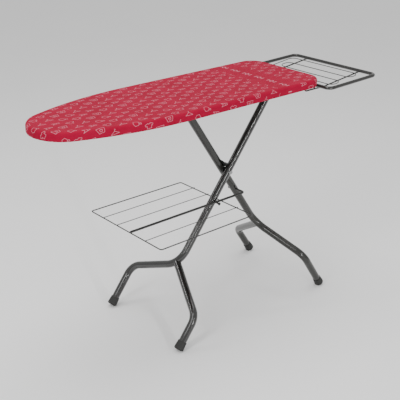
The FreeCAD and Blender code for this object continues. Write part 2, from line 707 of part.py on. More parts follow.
def lever():
    """Sprung release lever under the table: pivot bracket, plate with claw, grip and pin."""
    gauge = dim("lever_gauge")
    sheet_gauge = dim("flange_gauge")
    seat = dim("lever_seat")
    side = -dim("lever_side")
    over_bar, claw_short = 4.5, 4
    level = dim("bar_height") + dim("slide_bar_radius") + over_bar
    seat_level = level + 4
    post_x = SLIDE.x - claw_short + dim("lever_setback")

    def upright(name, radius, height, z):
        """Cylinder on the lever's own upright axis."""
        return cylinder(name, radius, "%g" % height, Placement(Vector(post_x, side, z), Rotation()))

    base_corner = Vector(post_x - seat / 2, side - seat / 2, PANEL_LOW - sheet_gauge)
    shelf_corner = Vector(base_corner.x, base_corner.y, seat_level)
    web_corner = Vector(base_corner.x, side + seat / 2 - sheet_gauge, seat_level)
    base = box("lever_base", "Dimensions.lever_seat", "Dimensions.lever_seat", "Dimensions.flange_gauge", base_corner)
    web = box("lever_web", "Dimensions.lever_seat", "Dimensions.flange_gauge", "%g" % (PANEL_LOW - seat_level),
              web_corner)
    shelf = box("lever_shelf", "Dimensions.lever_seat", "Dimensions.lever_seat", "Dimensions.flange_gauge",
                shelf_corner)
    pin_head_height, pin_head_radius, pin_below = 1.5, 6, 5.2
    pin_length = seat_level + sheet_gauge - level + pin_below + 0.2
    pin = upright("lever_pin_body", "Dimensions.lever_pin", pin_length, level - pin_below)
    head = upright("lever_pin_head", "%g" % pin_head_radius, pin_head_height, level - pin_below - pin_head_height)
    keep("lever_pin", fused("lever_pin_shape", [pin, head]))
    pin_seat = upright("lever_pin_seat", "Dimensions.lever_pin", sheet_gauge, seat_level)
    shelf = cut("lever_shelf_bored", shelf, pin_seat)
    keep("lever_bracket", fused("lever_bracket_shape", [base, web, shelf]))

    # hairpin spring: one straight end, a turn round the pin, and the other end
    turn_radius, wire_radius, end_length, spring_drop = 4.6, 0.6, 8, 2.6
    part_turn, full_turn = math.radians(10), math.radians(110)
    centre = Vector(end_length, turn_radius, 0)
    side_point, end_point = [
        centre + Vector(math.cos(turn), math.sin(turn), 0) * turn_radius for turn in (part_turn, full_turn)]
    tail = Vector(-math.sin(full_turn), math.cos(full_turn), 0) * end_length
    hairpin = pipe_body("spring_wire", [
        Part.LineSegment(Vector(0, 0, 0), Vector(end_length, 0, 0)),
        Part.Arc(Vector(end_length, 0, 0), side_point, end_point),
        Part.LineSegment(end_point, end_point + tail),
    ], "%g" % wire_radius)
    keep("lever_spring", hairpin, Placement(Vector(post_x, side, level - spring_drop) - centre, Rotation()))

    arm_width, arm_length, claw_length, claw_width, boss_radius = 14, 60, 44, 10, 10
    arm_low = side - 50
    arm = box("lever_arm", "%g" % arm_width, "%g" % arm_length, "Dimensions.lever_gauge",
              Vector(post_x - arm_width / 2, arm_low, level))
    boss = upright("lever_boss", "%g" % boss_radius, gauge, level)
    claw = box("lever_claw", "%g" % claw_length, "%g" % claw_width, "Dimensions.lever_gauge",
               Vector(post_x - claw_length, side - claw_width / 2, level))
    eye = upright("lever_eye", "Dimensions.lever_pin + Dimensions.fit_gap", 2 * THROUGH, level - THROUGH)
    keep("release_lever", cut("release_lever_shape", fused("lever_solid", [arm, boss, claw]), eye))

    grip_low, slot_length = arm_low - 13, 31
    outer = box("grip_outer", "Dimensions.grip_width", "Dimensions.grip_length", "Dimensions.grip_height",
                Vector(post_x - dim("grip_width") / 2, grip_low, level + (gauge - dim("grip_height")) / 2))
    doc.recompute()
    soft = doc.addObject("Part::Fillet", "grip_round")
    soft.Base = outer
    soft.Edges = [(number, dim("grip_round"), dim("grip_round")) for number in range(1, 13)]
    slot = box("grip_slot", "%g" % arm_width, "%g" % slot_length, "Dimensions.lever_gauge",
               Vector(post_x - arm_width / 2, arm_low - 0.5, level))
    keep("lever_grip", cut("lever_grip_shape", soft, slot))


lever()


# ---------------------------------------------------------------- shelf
def wire_ring(name, low_x, high_x, half, corner, radius, wall=None):
    """Closed rectangle of wire or tube with round corners, in its own XY plane."""
    middle = (low_x + high_x) / 2
    reach = (high_x - low_x) / 2
    corners = [Vector(-reach, -half, 0), Vector(-reach, half, 0), Vector(reach, half, 0), Vector(reach, -half, 0)]
    edges = rounded_path(corners, corner, closed=True)
    body = pipe_body(name, edges, radius, None, "XZ_Plane", (-reach, 0))
    if wall is not None:
        bore = "%s - Dimensions.%s" % (radius, wall)
        body = cut(name + "_tube", body, pipe_body(name + "_bore", edges, bore, None, "XZ_Plane", (-reach, 0)))
    return body, middle


def shelf():
    """Wire shelf: outer ring, thin wires lying on it, and the thick bar hooked into leg B."""
    height = dim("shelf_height")
    left = dim("shelf_left")
    right = dim("shelf_right")
    ring, middle = wire_ring("shelf_ring", left, right, dim("shelf_half"), dim("shelf_corner"),
                             "Dimensions.shelf_wire")
    keep("shelf_frame", ring, Placement(Vector(middle, 0, height), Rotation()))
    lift = dim("shelf_wire") + dim("grid_wire") - SINK
    overhang = 2
    wires = []
    for fifth in (1, 2, 4):
        y = dim("shelf_half") * (1 - 2 * fifth / 5)
        place = Placement(Vector(left - overhang, y, height + lift), Rotation(AXIS_Y, 90))
        wires.append(cylinder("thin_wire%d" % fifth, "Dimensions.grid_wire",
                              "Dimensions.shelf_right - Dimensions.shelf_left + %g" % (2 * overhang), place))
    group = doc.addObject("Part::Compound", "thin_wires")
    group.Links = wires
    keep("shelf_wires", group)

    side = dim("bar_side")
    bar_overhang = 4
    tail_length, cap_radius, cap_length, cap_depth = 9, 9, 7, 6
    far_end = dim("leg_offset") + dim("leg_radius") + tail_length
    reach = SHELF_PIN.x - left + bar_overhang
    corners = [Vector(0, 0, 0), Vector(reach, 0, 0), Vector(reach, side + far_end, 0)]
    bar = pipe_body("shelf_bar_wire", rounded_path(corners, 3 * dim("shelf_bar") - 3), "Dimensions.shelf_bar")
    keep("shelf_bar", bar, Placement(Vector(left - bar_overhang, -side, SHELF_PIN.z), Rotation()))
    cap_place = along_y(SHELF_PIN.x, far_end - cap_depth, SHELF_PIN.z)
    outer = cylinder("bar_cap_outer", "%g" % cap_radius, "%g" % cap_length, cap_place)
    bore = cylinder("bar_cap_bore", "Dimensions.shelf_bar", "%g" % cap_depth, cap_place)
    keep("shelf_bar_cap", cut("shelf_bar_cap_shape", outer, bore))

    stem, disc_radius, disc_height, play = 3.2, 6, 3, 0.4
    gap = dim("shelf_bar") + stem + play
    lean = math.radians(66.5)
    reach = gap / math.sin(lean)
    x = SHELF_REST.x + reach * math.cos(lean)
    z = SHELF_REST.z - gap
    past_bar = 4.5
    near = -side - dim("shelf_bar") - past_bar
    peg = cylinder("peg_stem", "%g" % stem, "%g" % (-near - dim("leg_offset")), along_y(x, near, z))
    disc = cylinder("peg_disc", "%g" % disc_radius, "%g" % disc_height, along_y(x, near - 1, z))
    shaft = cylinder("peg_cope", "Dimensions.leg_radius", "%g" % (2 * THROUGH), Placement())
    shaft.Placement = leg_frame(-1, SHELF_REST) * Placement(Vector(-THROUGH, 0, 0), Rotation(AXIS_Y, 90))
    keep("shelf_peg", cut("shelf_peg_shape", fused("peg_solid", [peg, disc]), shaft))


shelf()


# ---------------------------------------------------------------- iron rest
def iron_rest():
    """Iron rest: tube ring hinged by its inner bar, two sloping rails and one looped wire."""
    inner = dim("rest_inner")
    outer = dim("rest_outer")
    span = math.hypot(outer - inner, dim("rest_rise"))
    tilt = math.degrees(math.asin(dim("rest_rise") / span))
    ring, _ = wire_ring("rest_ring", 0, span, dim("rest_half"), dim("rest_corner"), "Dimensions.rest_tube",
                        "bar_wall")
    base = Placement(Vector(inner, 0, dim("rest_height")), Rotation(AXIS_Y, -tilt))
    keep("rest_frame", ring, base * Placement(Vector(span / 2, 0, 0), Rotation()))

    slope = dim("rail_slope")
    tangent = math.tan(math.radians(slope))
    high = dim("rest_height") + dim("rest_rise")
    level_x = dim("rail_level_x")
    rail_height = high - (outer - level_x) * tangent
    stop_gap = 0.4
    stop = BRACE_LOW - stop_gap
    corners = [
        Vector(0, 0, 0),
        Vector(outer - level_x, high - rail_height, 0),
        Vector(outer - dim("rail_stop_x"), high - rail_height, 0),
        Vector(outer - dim("rail_stop_x"), high - stop, 0),
    ]
    for hand, sign in (("left", 1), ("right", -1)):
        wire = pipe_body("rest_rail_wire_" + hand, rounded_path(corners, dim("rail_bend")), "Dimensions.rail_radius")
        turned = Rotation(AXIS_Z, 180) * Rotation(Vector(1, 0, 0), -90)
        keep("rest_rail_" + hand, wire, Placement(Vector(outer, sign * dim("rail_side"), high), turned))

    pitch = dim("grid_pitch")
    xs = [(dim("grid_first") + step * pitch - outer) / math.cos(math.radians(slope)) for step in range(4)]
    far, near, tucked = dim("grid_far"), dim("grid_near"), dim("grid_tucked")
    bend_play = 0.3
    corners = [Vector(x, y, 0) for x, y in (
        (xs[3], near), (xs[3], far), (xs[0], far), (xs[0], near),
        (xs[1], near), (xs[1], tucked), (xs[2], tucked), (xs[2], near))]
    edges = rounded_path(corners, pitch / 2 - bend_play, closed=True)
    wire = pipe_body("rest_grid_wire", edges, "Dimensions.rest_wire", None, "XZ_Plane", (xs[3], 0))
    lift = dim("rail_radius") + dim("rest_wire") - SINK
    plane = Placement(Vector(outer, 0, high), Rotation(AXIS_Y, -slope))
    keep("rest_grid", wire, plane * Placement(Vector(0, 0, lift), Rotation()))

    weld_depth = 1
    post_length = dim("rest_height") - dim("rest_tube") - rail_height + weld_depth
    posts = []
    for sign in (1, -1):
        place = Placement(Vector(inner, sign * dim("rail_side"), rail_height), Rotation())
        posts.append(cylinder("rest_post%d" % len(posts), "Dimensions.rail_radius", "%g" % post_length, place))
    group = doc.addObject("Part::Compound", "rest_post_pair")
    group.Links = posts
    keep("rest_posts", group)


def rest_clips():
    """Straps under the wide end whose eyes hold the rest's inner bar as a hinge."""
    inner = dim("rest_inner")
    middle = dim("rest_height")
    start = BRACES["end"][0] - dim("brace_width") / 2
    width, gauge, eye_wall, over_bar = 16, 2.5, 3, 4.5
    strap_low = middle + over_bar
    for hand, side in (("left", 92), ("right", -92 - width)):
        strap = box("clip_strap_" + hand, "%g" % (inner - start), "%g" % width, "%g" % gauge,
                    Vector(start, side, strap_low))
        web = box("clip_web_" + hand, "Dimensions.brace_width", "%g" % width, "%g" % (BRACE_LOW - strap_low),
                  Vector(start, side, strap_low))
        ear = cylinder("clip_ear_" + hand, "Dimensions.rest_tube + %g" % eye_wall, "%g" % width,
                       along_y(inner, side, middle))
        eye = cylinder("clip_eye_" + hand, "Dimensions.rest_tube + Dimensions.fit_gap", "%g" % (2 * THROUGH),
                       along_y(inner, side - THROUGH, middle))
        keep("rest_clip_" + hand, cut("clip_shape_" + hand, fused("clip_solid_" + hand, [strap, web, ear]), eye))


iron_rest()
rest_clips()

doc.recompute()
for item in doc.Objects:
    if "Invalid" in item.State or "Error" in item.State:
        raise RuntimeError("%s failed: %s" % (item.Name, item.State))
for name, obj in SUBPARTS.items():
    if obj.Shape.isNull() or not obj.Shape.isValid() or not obj.Shape.Solids:
        raise RuntimeError("%s has a bad shape" % name)

os.makedirs("parts", exist_ok=True)
for name, obj in SUBPARTS.items():
    obj.Shape.exportStep("parts/%s.step" % name)
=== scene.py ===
import json
import math

import bmesh
import bpy
from mathutils import Euler, Matrix, Vector, noise


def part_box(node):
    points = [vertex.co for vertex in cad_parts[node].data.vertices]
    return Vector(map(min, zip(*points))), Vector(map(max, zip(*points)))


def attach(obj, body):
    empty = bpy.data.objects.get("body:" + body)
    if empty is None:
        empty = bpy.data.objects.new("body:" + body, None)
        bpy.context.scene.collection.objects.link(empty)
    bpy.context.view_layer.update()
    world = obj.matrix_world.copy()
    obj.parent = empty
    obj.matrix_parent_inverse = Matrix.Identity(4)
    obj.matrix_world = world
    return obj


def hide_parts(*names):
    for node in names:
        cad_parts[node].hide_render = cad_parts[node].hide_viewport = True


# Looks of the folding ironing board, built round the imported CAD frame. Metres, +X from nose to iron rest.

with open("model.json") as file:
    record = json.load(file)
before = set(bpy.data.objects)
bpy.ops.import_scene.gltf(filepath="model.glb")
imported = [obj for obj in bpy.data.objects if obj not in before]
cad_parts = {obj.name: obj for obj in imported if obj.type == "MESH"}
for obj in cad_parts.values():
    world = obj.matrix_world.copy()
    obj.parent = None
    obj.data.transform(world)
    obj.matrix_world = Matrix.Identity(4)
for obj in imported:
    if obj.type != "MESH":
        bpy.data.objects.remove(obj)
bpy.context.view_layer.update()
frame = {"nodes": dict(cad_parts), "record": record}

MM = 0.001


# ---------------------------------------------------------------- node helpers
class Shader:
    """One material's node tree, with short calls for the nodes it needs."""

    def __init__(self, name):
        self.material = bpy.data.materials.new(name)
        self.material.use_nodes = True
        self.nodes = self.material.node_tree.nodes
        self.links = self.material.node_tree.links
        self.surface = self.nodes["Principled BSDF"]
        self.coordinates = self.nodes.new("ShaderNodeTexCoord")

    def link(self, value, socket):
        """Connect another node's output to a socket, or set a plain value on it."""
        if isinstance(value, bpy.types.NodeSocket):
            self.links.new(value, socket)
        else:
            socket.default_value = value

    def constants(self, **values):
        """Set sockets of the surface that are the same all over."""
        for name, value in values.items():
            self.surface.inputs[name.replace("_", " ")].default_value = value

    def scaled(self, vector, scale):
        node = self.nodes.new("ShaderNodeMapping")
        self.links.new(vector, node.inputs["Vector"])
        node.inputs["Scale"].default_value = scale
        return node.outputs["Vector"]

    def noise(self, scale, detail=3.0, vector=None, roughness=0.5):
        node = self.nodes.new("ShaderNodeTexNoise")
        self.links.new(vector or self.coordinates.outputs["Object"], node.inputs["Vector"])
        node.inputs["Scale"].default_value = scale
        node.inputs["Detail"].default_value = detail
        node.inputs["Roughness"].default_value = roughness
        return node.outputs["Fac"]

    def wave(self, scale, direction, vector):
        node = self.nodes.new("ShaderNodeTexWave")
        node.bands_direction = direction
        self.links.new(vector, node.inputs["Vector"])
        node.inputs["Scale"].default_value = scale
        return node.outputs["Fac"]

    def math(self, operation, first, second=0.0):
        node = self.nodes.new("ShaderNodeMath")
        node.operation = operation
        self.link(first, node.inputs[0])
        self.link(second, node.inputs[1])
        return node.outputs[0]

    def remap(self, value, low, high, to_low, to_high):
        node = self.nodes.new("ShaderNodeMapRange")
        self.links.new(value, node.inputs["Value"])
        for name, number in (("From Min", low), ("From Max", high), ("To Min", to_low), ("To Max", to_high)):
            node.inputs[name].default_value = number
        return node.outputs["Result"]

    def mix(self, factor, first, second):
        node = self.nodes.new("ShaderNodeMix")
        node.data_type = "RGBA"
        self.link(factor, node.inputs["Factor"])
        self.link(first, node.inputs["A"])
        self.link(second, node.inputs["B"])
        return node.outputs["Result"]

    def bump(self, height, depth, strength, normal=None):
        node = self.nodes.new("ShaderNodeBump")
        self.links.new(height, node.inputs["Height"])
        node.inputs["Distance"].default_value = depth
        node.inputs["Strength"].default_value = strength
        if normal is not None:
            self.links.new(normal, node.inputs["Normal"])
        return node.outputs["Normal"]

    def finish(self, colour, roughness, normal):
        self.links.new(colour, self.surface.inputs["Base Color"])
        self.links.new(roughness, self.surface.inputs["Roughness"])
        self.links.new(normal, self.surface.inputs["Normal"])
        return self.material


def rgb(red, green, blue):
    return (red, green, blue, 1.0)


# ---------------------------------------------------------------- materials
def powder_coat(name, dark, light, gloss, coat):
    """Sprayed enamel: faint orange peel, dust in the gloss, and slightly uneven colour."""
    shader = Shader(name)
    cloud = shader.noise(9.0, 4.0)
    speck = shader.noise(420.0, 2.0)
    peel = shader.noise(260.0, 1.0)
    colour = shader.mix(shader.remap(cloud, 0.35, 0.7, 0.0, 1.0), dark, light)
    roughness = shader.remap(shader.math("ADD", cloud, speck), 0.6, 1.4, gloss * 0.9, gloss * 1.2)
    shader.constants(Coat_Weight=coat, Coat_Roughness=0.06, IOR=1.5)
    return shader.finish(colour, roughness, shader.bump(peel, 0.00002, 0.25))


def moulded(name, dark, light, rough, grain):
    """Rubber or plastic from a mould: fine grain, with scuffs that are paler and rougher."""
    shader = Shader(name)
    pores = shader.noise(grain, 3.0)
    scuff = shader.noise(38.0, 6.0, roughness=0.7)
    worn = shader.remap(scuff, 0.58, 0.78, 0.0, 1.0)
    colour = shader.mix(worn, dark, light)
    roughness = shader.remap(pores, 0.3, 0.7, rough * 0.88, min(1.0, rough * 1.12))
    shader.constants(IOR=1.48)
    return shader.finish(colour, roughness, shader.bump(pores, 0.00012, 0.6))


def zinc_plate(name):
    """Zinc plated steel, spangled and faintly brushed."""
    shader = Shader(name)
    spangle = shader.noise(150.0, 2.0)
    brush = shader.noise(300.0, 2.0, shader.scaled(shader.coordinates.outputs["Object"], (1.0, 12.0, 1.0)))
    colour = shader.mix(spangle, rgb(0.26, 0.27, 0.28), rgb(0.42, 0.42, 0.41))
    roughness = shader.remap(brush, 0.3, 0.7, 0.24, 0.42)
    shader.constants(Metallic=1.0)
    return shader.finish(colour, roughness, shader.bump(brush, 0.00004, 0.5))


def felt(name):
    """Needled felt: matted fibres of a few shades."""
    shader = Shader(name)
    fibre = shader.noise(900.0, 5.0, roughness=0.8)
    mat = shader.noise(60.0, 5.0, roughness=0.7)
    colour = shader.mix(shader.math("MULTIPLY", fibre, mat), rgb(0.50, 0.48, 0.43), rgb(0.84, 0.82, 0.76))
    roughness = shader.remap(mat, 0.3, 0.7, 0.88, 1.0)
    shader.constants(Sheen_Weight=0.4, Sheen_Roughness=0.6)
    return shader.finish(colour, roughness, shader.bump(fibre, 0.0005, 0.8))


# Line drawings of the cover's print, in millimetres round the middle of each one.
PRINT_MOTIFS = [
    # tub with a pocket
    [[(-15, 9), (15, 9), (9, -9), (-9, -9), (-15, 9)], [(-5, 3), (5, 3), (3, -4), (-3, -4), (-5, 3)]],
    # six-sided button with a loop
    [[(-13, 0), (-8, 9), (4, 9), (9, 0), (4, -9), (-8, -9), (-13, 0)], [(8, -3), (15, -3), (15, -8), (7, -6)]],
    # shirt
    [[(-5, 9), (-15, 5), (-12, -1), (-8, 1), (-8, -9), (8, -9),
      (8, 1), (12, -1), (15, 5), (5, 9), (0, 6), (-5, 9)]],
    # hanger
    [[(-15, -7), (0, 3), (15, -7), (-15, -7)], [(0, 3), (0, 6), (4, 8), (1, 10)]],
    # clothes peg
    [[(-14, 5), (12, 1), (12, -4), (-14, -8)], [(-14, 5), (-6, -1), (-14, -8)], [(2, 3), (2, -6)]],
]
# layout of the print, in millimetres on the flat cloth
PRINT_COLUMN = 80.0
PRINT_ROW = 23.0
PRINT_STROKE = 0.72
STROKE_EDGE = 0.3
BAND_X = 245.0
BAND_HALF = 52.0
BAND_PITCH = 66.0
DIAMOND_REACH = 9.0
BAR_PLACE = 18.0
BAR_HALF_LENGTH = 7.0
RING_BOLDNESS = 0.3  # smaller is bolder
BAR_BOLDNESS = 0.35
THREADS = 0.42  # scale of the weave's waves
COLUMN_TURN, ROW_TURN = 3.0, 2.0  # how the choice of motif moves on from place to place
OTHER_MOTIF = 100.0  # distance that hides the motifs that a place doesn't have


def segment_group():
    """Node group: distance from a point to the line between two others."""
    group = bpy.data.node_groups.new("segment_distance", "ShaderNodeTree")
    for name in ("Point", "Start", "End"):
        group.interface.new_socket(name, in_out="INPUT", socket_type="NodeSocketVector")
    group.interface.new_socket("Distance", in_out="OUTPUT", socket_type="NodeSocketFloat")
    entry = group.nodes.new("NodeGroupInput")
    leave = group.nodes.new("NodeGroupOutput")

    def vector(operation, first, second, output="Vector"):
        node = group.nodes.new("ShaderNodeVectorMath")
        node.operation = operation
        group.links.new(first, node.inputs[0])
        if second is not None:
            group.links.new(second, node.inputs["Scale" if operation == "SCALE" else 1])
        return node.outputs[output]

    reach = vector("SUBTRACT", entry.outputs["Point"], entry.outputs["Start"])
    line = vector("SUBTRACT", entry.outputs["End"], entry.outputs["Start"])
    share = group.nodes.new("ShaderNodeMath")
    share.operation = "DIVIDE"
    share.use_clamp = True
    group.links.new(vector("DOT_PRODUCT", reach, line, "Value"), share.inputs[0])
    group.links.new(vector("DOT_PRODUCT", line, line, "Value"), share.inputs[1])
    away = vector("SUBTRACT", reach, vector("SCALE", line, share.outputs[0]))
    group.links.new(vector("LENGTH", away, None, "Value"), leave.inputs["Distance"])
    return group


def print_mask(shader, flat):
    """How much print ink lies at a point of the flat cloth: rows of motifs, and one band with its own row."""
    segment = segment_group()
    split = shader.nodes.new("ShaderNodeSeparateXYZ")
    shader.links.new(flat, split.inputs[0])
    along, across = split.outputs["X"], split.outputs["Y"]

    def distance(point, start, end):
        node = shader.nodes.new("ShaderNodeGroup")
        node.node_tree = segment
        shader.links.new(point, node.inputs["Point"])
        node.inputs["Start"].default_value = (*start, 0)
        node.inputs["End"].default_value = (*end, 0)
        return node.outputs["Distance"]

    row = shader.math("FLOOR", shader.math("DIVIDE", across, PRINT_ROW))
    odd = shader.math("FLOORED_MODULO", row, 2.0)
    shifted = shader.math("ADD", along, shader.math("MULTIPLY", odd, PRINT_COLUMN / 2))
    column = shader.math("FLOOR", shader.math("DIVIDE", shifted, PRINT_COLUMN))
    column_start = shader.math("MULTIPLY", column, PRINT_COLUMN)
    row_start = shader.math("MULTIPLY", row, PRINT_ROW)
    local_x = shader.math("SUBTRACT", shader.math("SUBTRACT", shifted, column_start), PRINT_COLUMN / 2)
    local_y = shader.math("SUBTRACT", shader.math("SUBTRACT", across, row_start), PRINT_ROW / 2)
    local = shader.nodes.new("ShaderNodeCombineXYZ")
    shader.links.new(local_x, local.inputs["X"])
    shader.links.new(local_y, local.inputs["Y"])

    turn = shader.math("ADD", shader.math("MULTIPLY", column, COLUMN_TURN), shader.math("MULTIPLY", row, ROW_TURN))
    choice = shader.math("FLOORED_MODULO", turn, float(len(PRINT_MOTIFS)))
    nearest = None
    for number, motif in enumerate(PRINT_MOTIFS):
        best = None
        for line in motif:
            for start, end in zip(line, line[1:]):
                found = distance(local.outputs[0], start, end)
                best = found if best is None else shader.math("MINIMUM", best, found)
        apart = shader.math("ABSOLUTE", shader.math("SUBTRACT", choice, float(number)))
        best = shader.math("ADD", best, shader.math("MULTIPLY", apart, OTHER_MOTIF))
        nearest = best if nearest is None else shader.math("MINIMUM", nearest, best)

    # band across the cloth, plain but for one row of diamonds between pairs of short bars
    centre_x = shader.math("SUBTRACT", along, BAND_X)
    off_band = shader.math("ABSOLUTE", centre_x)
    in_band = shader.math("LESS_THAN", off_band, BAND_HALF)
    repeat = shader.math("SUBTRACT", shader.math("FLOORED_MODULO", across, BAND_PITCH), BAND_PITCH / 2)
    from_diamond = shader.math("ABSOLUTE", repeat)
    diamond = shader.math("ADD", off_band, from_diamond)
    ring = shader.math("ABSOLUTE", shader.math("SUBTRACT", diamond, DIAMOND_REACH))
    bar_centre = shader.math("ABSOLUTE", shader.math("SUBTRACT", from_diamond, BAR_PLACE))
    bar = shader.math("MAXIMUM", shader.math("SUBTRACT", off_band, BAR_HALF_LENGTH), bar_centre)
    motif_row = shader.math("MINIMUM", shader.math("MULTIPLY", ring, RING_BOLDNESS),
                            shader.math("MULTIPLY", bar, BAR_BOLDNESS))
    chosen = shader.nodes.new("ShaderNodeMix")
    shader.links.new(in_band, chosen.inputs["Factor"])
    shader.links.new(nearest, chosen.inputs["A"])
    shader.links.new(motif_row, chosen.inputs["B"])
    return shader.remap(chosen.outputs["Result"], PRINT_STROKE - STROKE_EDGE, PRINT_STROKE + STROKE_EDGE, 1.0, 0.0)


def printed_cotton(name):
    """Crimson cotton with pale line motifs: plain weave, uneven dye, and a soft sheen."""
    shader = Shader(name)
    uv = shader.nodes.new("ShaderNodeUVMap")
    uv.uv_map = "flat_cloth"
    flat = shader.scaled(uv.outputs["UV"], (1 / MM, 1 / MM, 1 / MM))
    ink = print_mask(shader, flat)
    threads = shader.math("MULTIPLY", shader.wave(THREADS, "X", flat), shader.wave(THREADS, "Y", flat))
    dye = shader.noise(14.0, 5.0)
    slub = shader.noise(0.35, 3.0, shader.scaled(flat, (0.25, 3.0, 1.0)))
    cloth = shader.mix(shader.remap(dye, 0.3, 0.7, 0.0, 1.0), rgb(0.29, 0.0002, 0.022), rgb(0.35, 0.0005, 0.030))
    cloth = shader.mix(shader.remap(slub, 0.35, 0.75, 0.0, 0.22), cloth, rgb(0.40, 0.002, 0.042))
    worn_ink = shader.math("MULTIPLY", ink, shader.remap(threads, 0.0, 0.5, 0.72, 0.95))
    colour = shader.mix(worn_ink, cloth, rgb(0.66, 0.24, 0.31))
    roughness = shader.remap(threads, 0.0, 1.0, 0.82, 0.62)
    weave = shader.bump(threads, 0.0002, 0.35)
    normal = shader.bump(slub, 0.0003, 0.25, weave)
    shader.constants(Sheen_Weight=0.02, Sheen_Roughness=0.4)
    shader.surface.inputs["Sheen Tint"].default_value = rgb(1.0, 0.72, 0.78)
    shader.surface.inputs["Specular IOR Level"].default_value = 0.12
    return shader.finish(colour, roughness, normal)


def floor_paint(name):
    shader = Shader(name)
    cloud = shader.noise(1.5, 3.0)
    colour = shader.mix(cloud, rgb(0.93, 0.93, 0.93), rgb(0.96, 0.96, 0.955))
    roughness = shader.remap(cloud, 0.3, 0.7, 0.6, 0.7)
    return shader.finish(colour, roughness, shader.bump(cloud, 0.0002, 0.1))


LEG_PAINT = powder_coat("leg_gloss_black", rgb(0.006, 0.006, 0.005), rgb(0.014, 0.013, 0.012), 0.10, 0.8)
# leg B: the same black paint as leg A, but rougher, with a lighter colour as painted reflection of the bright
# floor
LEG_B_PAINTED_REFLECTION = powder_coat("leg_b_satin_painted_reflection", rgb(0.012, 0.012, 0.010), rgb(0.022, 0.022, 0.019), 0.24, 0.2)
WIRE_PAINT = powder_coat("wire_grey_black", rgb(0.012, 0.012, 0.011), rgb(0.024, 0.024, 0.022), 0.34, 0.1)
REST_PAINT = powder_coat("rest_gloss_black", rgb(0.006, 0.006, 0.005), rgb(0.014, 0.013, 0.012), 0.22, 0.4)
TABLE_ENAMEL = powder_coat("table_satin_enamel", rgb(0.040, 0.041, 0.043), rgb(0.075, 0.076, 0.078), 0.42, 0.0)
RUBBER = moulded("foot_rubber_black", rgb(0.016, 0.016, 0.015), rgb(0.060, 0.058, 0.055), 0.66, 600.0)
PLASTIC = moulded("moulded_black_plastic", rgb(0.014, 0.014, 0.014), rgb(0.040, 0.040, 0.040), 0.48, 900.0)
ZINC = zinc_plate("zinc_plated_steel")
FELT = felt("needled_felt")

SLOT_MATERIALS = {
    "leg_coating": LEG_PAINT,
    "wire_coating": WIRE_PAINT,
    "table_enamel": TABLE_ENAMEL,
    "foot_rubber": RUBBER,
    "black_plastic": PLASTIC,
    "zinc_steel": ZINC,
    "felt": FELT,
}
OWN_MATERIALS = {
    "leg_b_tube": LEG_B_PAINTED_REFLECTION,
    "leg_b_branch": LEG_B_PAINTED_REFLECTION,
    "rest_frame": REST_PAINT,
    "rest_rail_left": REST_PAINT,
    "rest_rail_right": REST_PAINT,
}


def paint_cad_nodes():
    """Give every CAD node that is shown its procedural material and its slot."""
    for row in frame["record"]["subparts"]:
        name = row["node"]
        slot = row["material_slot"]
        material = OWN_MATERIALS.get(name) or SLOT_MATERIALS.get(slot)
        if material is None:
            continue
        mesh = frame["nodes"][name].data
        mesh.materials.clear()
        mesh.materials.append(material)


paint_cad_nodes()


# ---------------------------------------------------------------- table outline
COVER_LOW, COVER_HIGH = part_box("cover")
NOSE_RADIUS = 130 * MM
TAPER_X = -225 * MM
CORNER_RADIUS = 70 * MM


class Outline:
    """Half outline of the table, from the nose tip round the left side to the middle of the wide end."""

    def __init__(self):
        self.half = COVER_HIGH.y
        self.nose_centre = Vector((COVER_LOW.x + NOSE_RADIUS, 0, 0))
        run = TAPER_X - self.nose_centre.x
        self.flank = (run ** 2 + self.half ** 2 - NOSE_RADIUS ** 2) / (2 * (self.half - NOSE_RADIUS))
        self.flank_centre = Vector((TAPER_X, self.half - self.flank, 0))
        joint = self.nose_centre - self.flank_centre
        self.joint_angle = math.atan2(joint.y, joint.x)
        self.corner_centre = Vector((COVER_HIGH.x - CORNER_RADIUS, self.half - CORNER_RADIUS, 0))
        self.stretches = [
            NOSE_RADIUS * (math.pi - self.joint_angle),
            self.flank * (self.joint_angle - math.pi / 2),
            self.corner_centre.x - TAPER_X,
            CORNER_RADIUS * math.pi / 2,
            self.corner_centre.y,
        ]
        self.length = sum(self.stretches)

    def at(self, distance):
        """Point and outward direction at a distance along the half outline."""
        nose, flank, side, corner, _ = self.stretches
        if distance <= nose:
            angle = math.pi - distance / NOSE_RADIUS
            outward = Vector((math.cos(angle), math.sin(angle), 0))
            return self.nose_centre + outward * NOSE_RADIUS, outward
        distance -= nose
        if distance <= flank:
            angle = self.joint_angle - distance / self.flank
            outward = Vector((math.cos(angle), math.sin(angle), 0))
            return self.flank_centre + outward * self.flank, outward
        distance -= flank
        if distance <= side:
            return Vector((TAPER_X + distance, self.half, 0)), Vector((0, 1, 0))
        distance -= side
        if distance <= corner:
            angle = math.pi / 2 - distance / CORNER_RADIUS
            outward = Vector((math.cos(angle), math.sin(angle), 0))
            return self.corner_centre + outward * CORNER_RADIUS, outward
        distance -= corner
        return Vector((COVER_HIGH.x, self.corner_centre.y - distance, 0)), Vector((1, 0, 0))


OUTLINE = Outline()
HALF_STEPS = 470
# the middle line, where the rings of the top close up, runs between these
MEDIAL_NOSE_X = OUTLINE.nose_centre.x
MEDIAL_END_X = COVER_HIGH.x - 150 * MM
NOSE_SOFT_REACH = 0.30
CORNER_SOFT_REACH = 0.085


def perimeter():
    """Points and directions all round the table, mirrored exactly about the middle plane."""
    left = [OUTLINE.at(OUTLINE.length * step / HALF_STEPS) for step in range(HALF_STEPS + 1)]
    right = [(Vector((p.x, -p.y, 0)), Vector((n.x, -n.y, 0))) for p, n in reversed(left[1:-1])]
    return left + right


PERIMETER = perimeter()


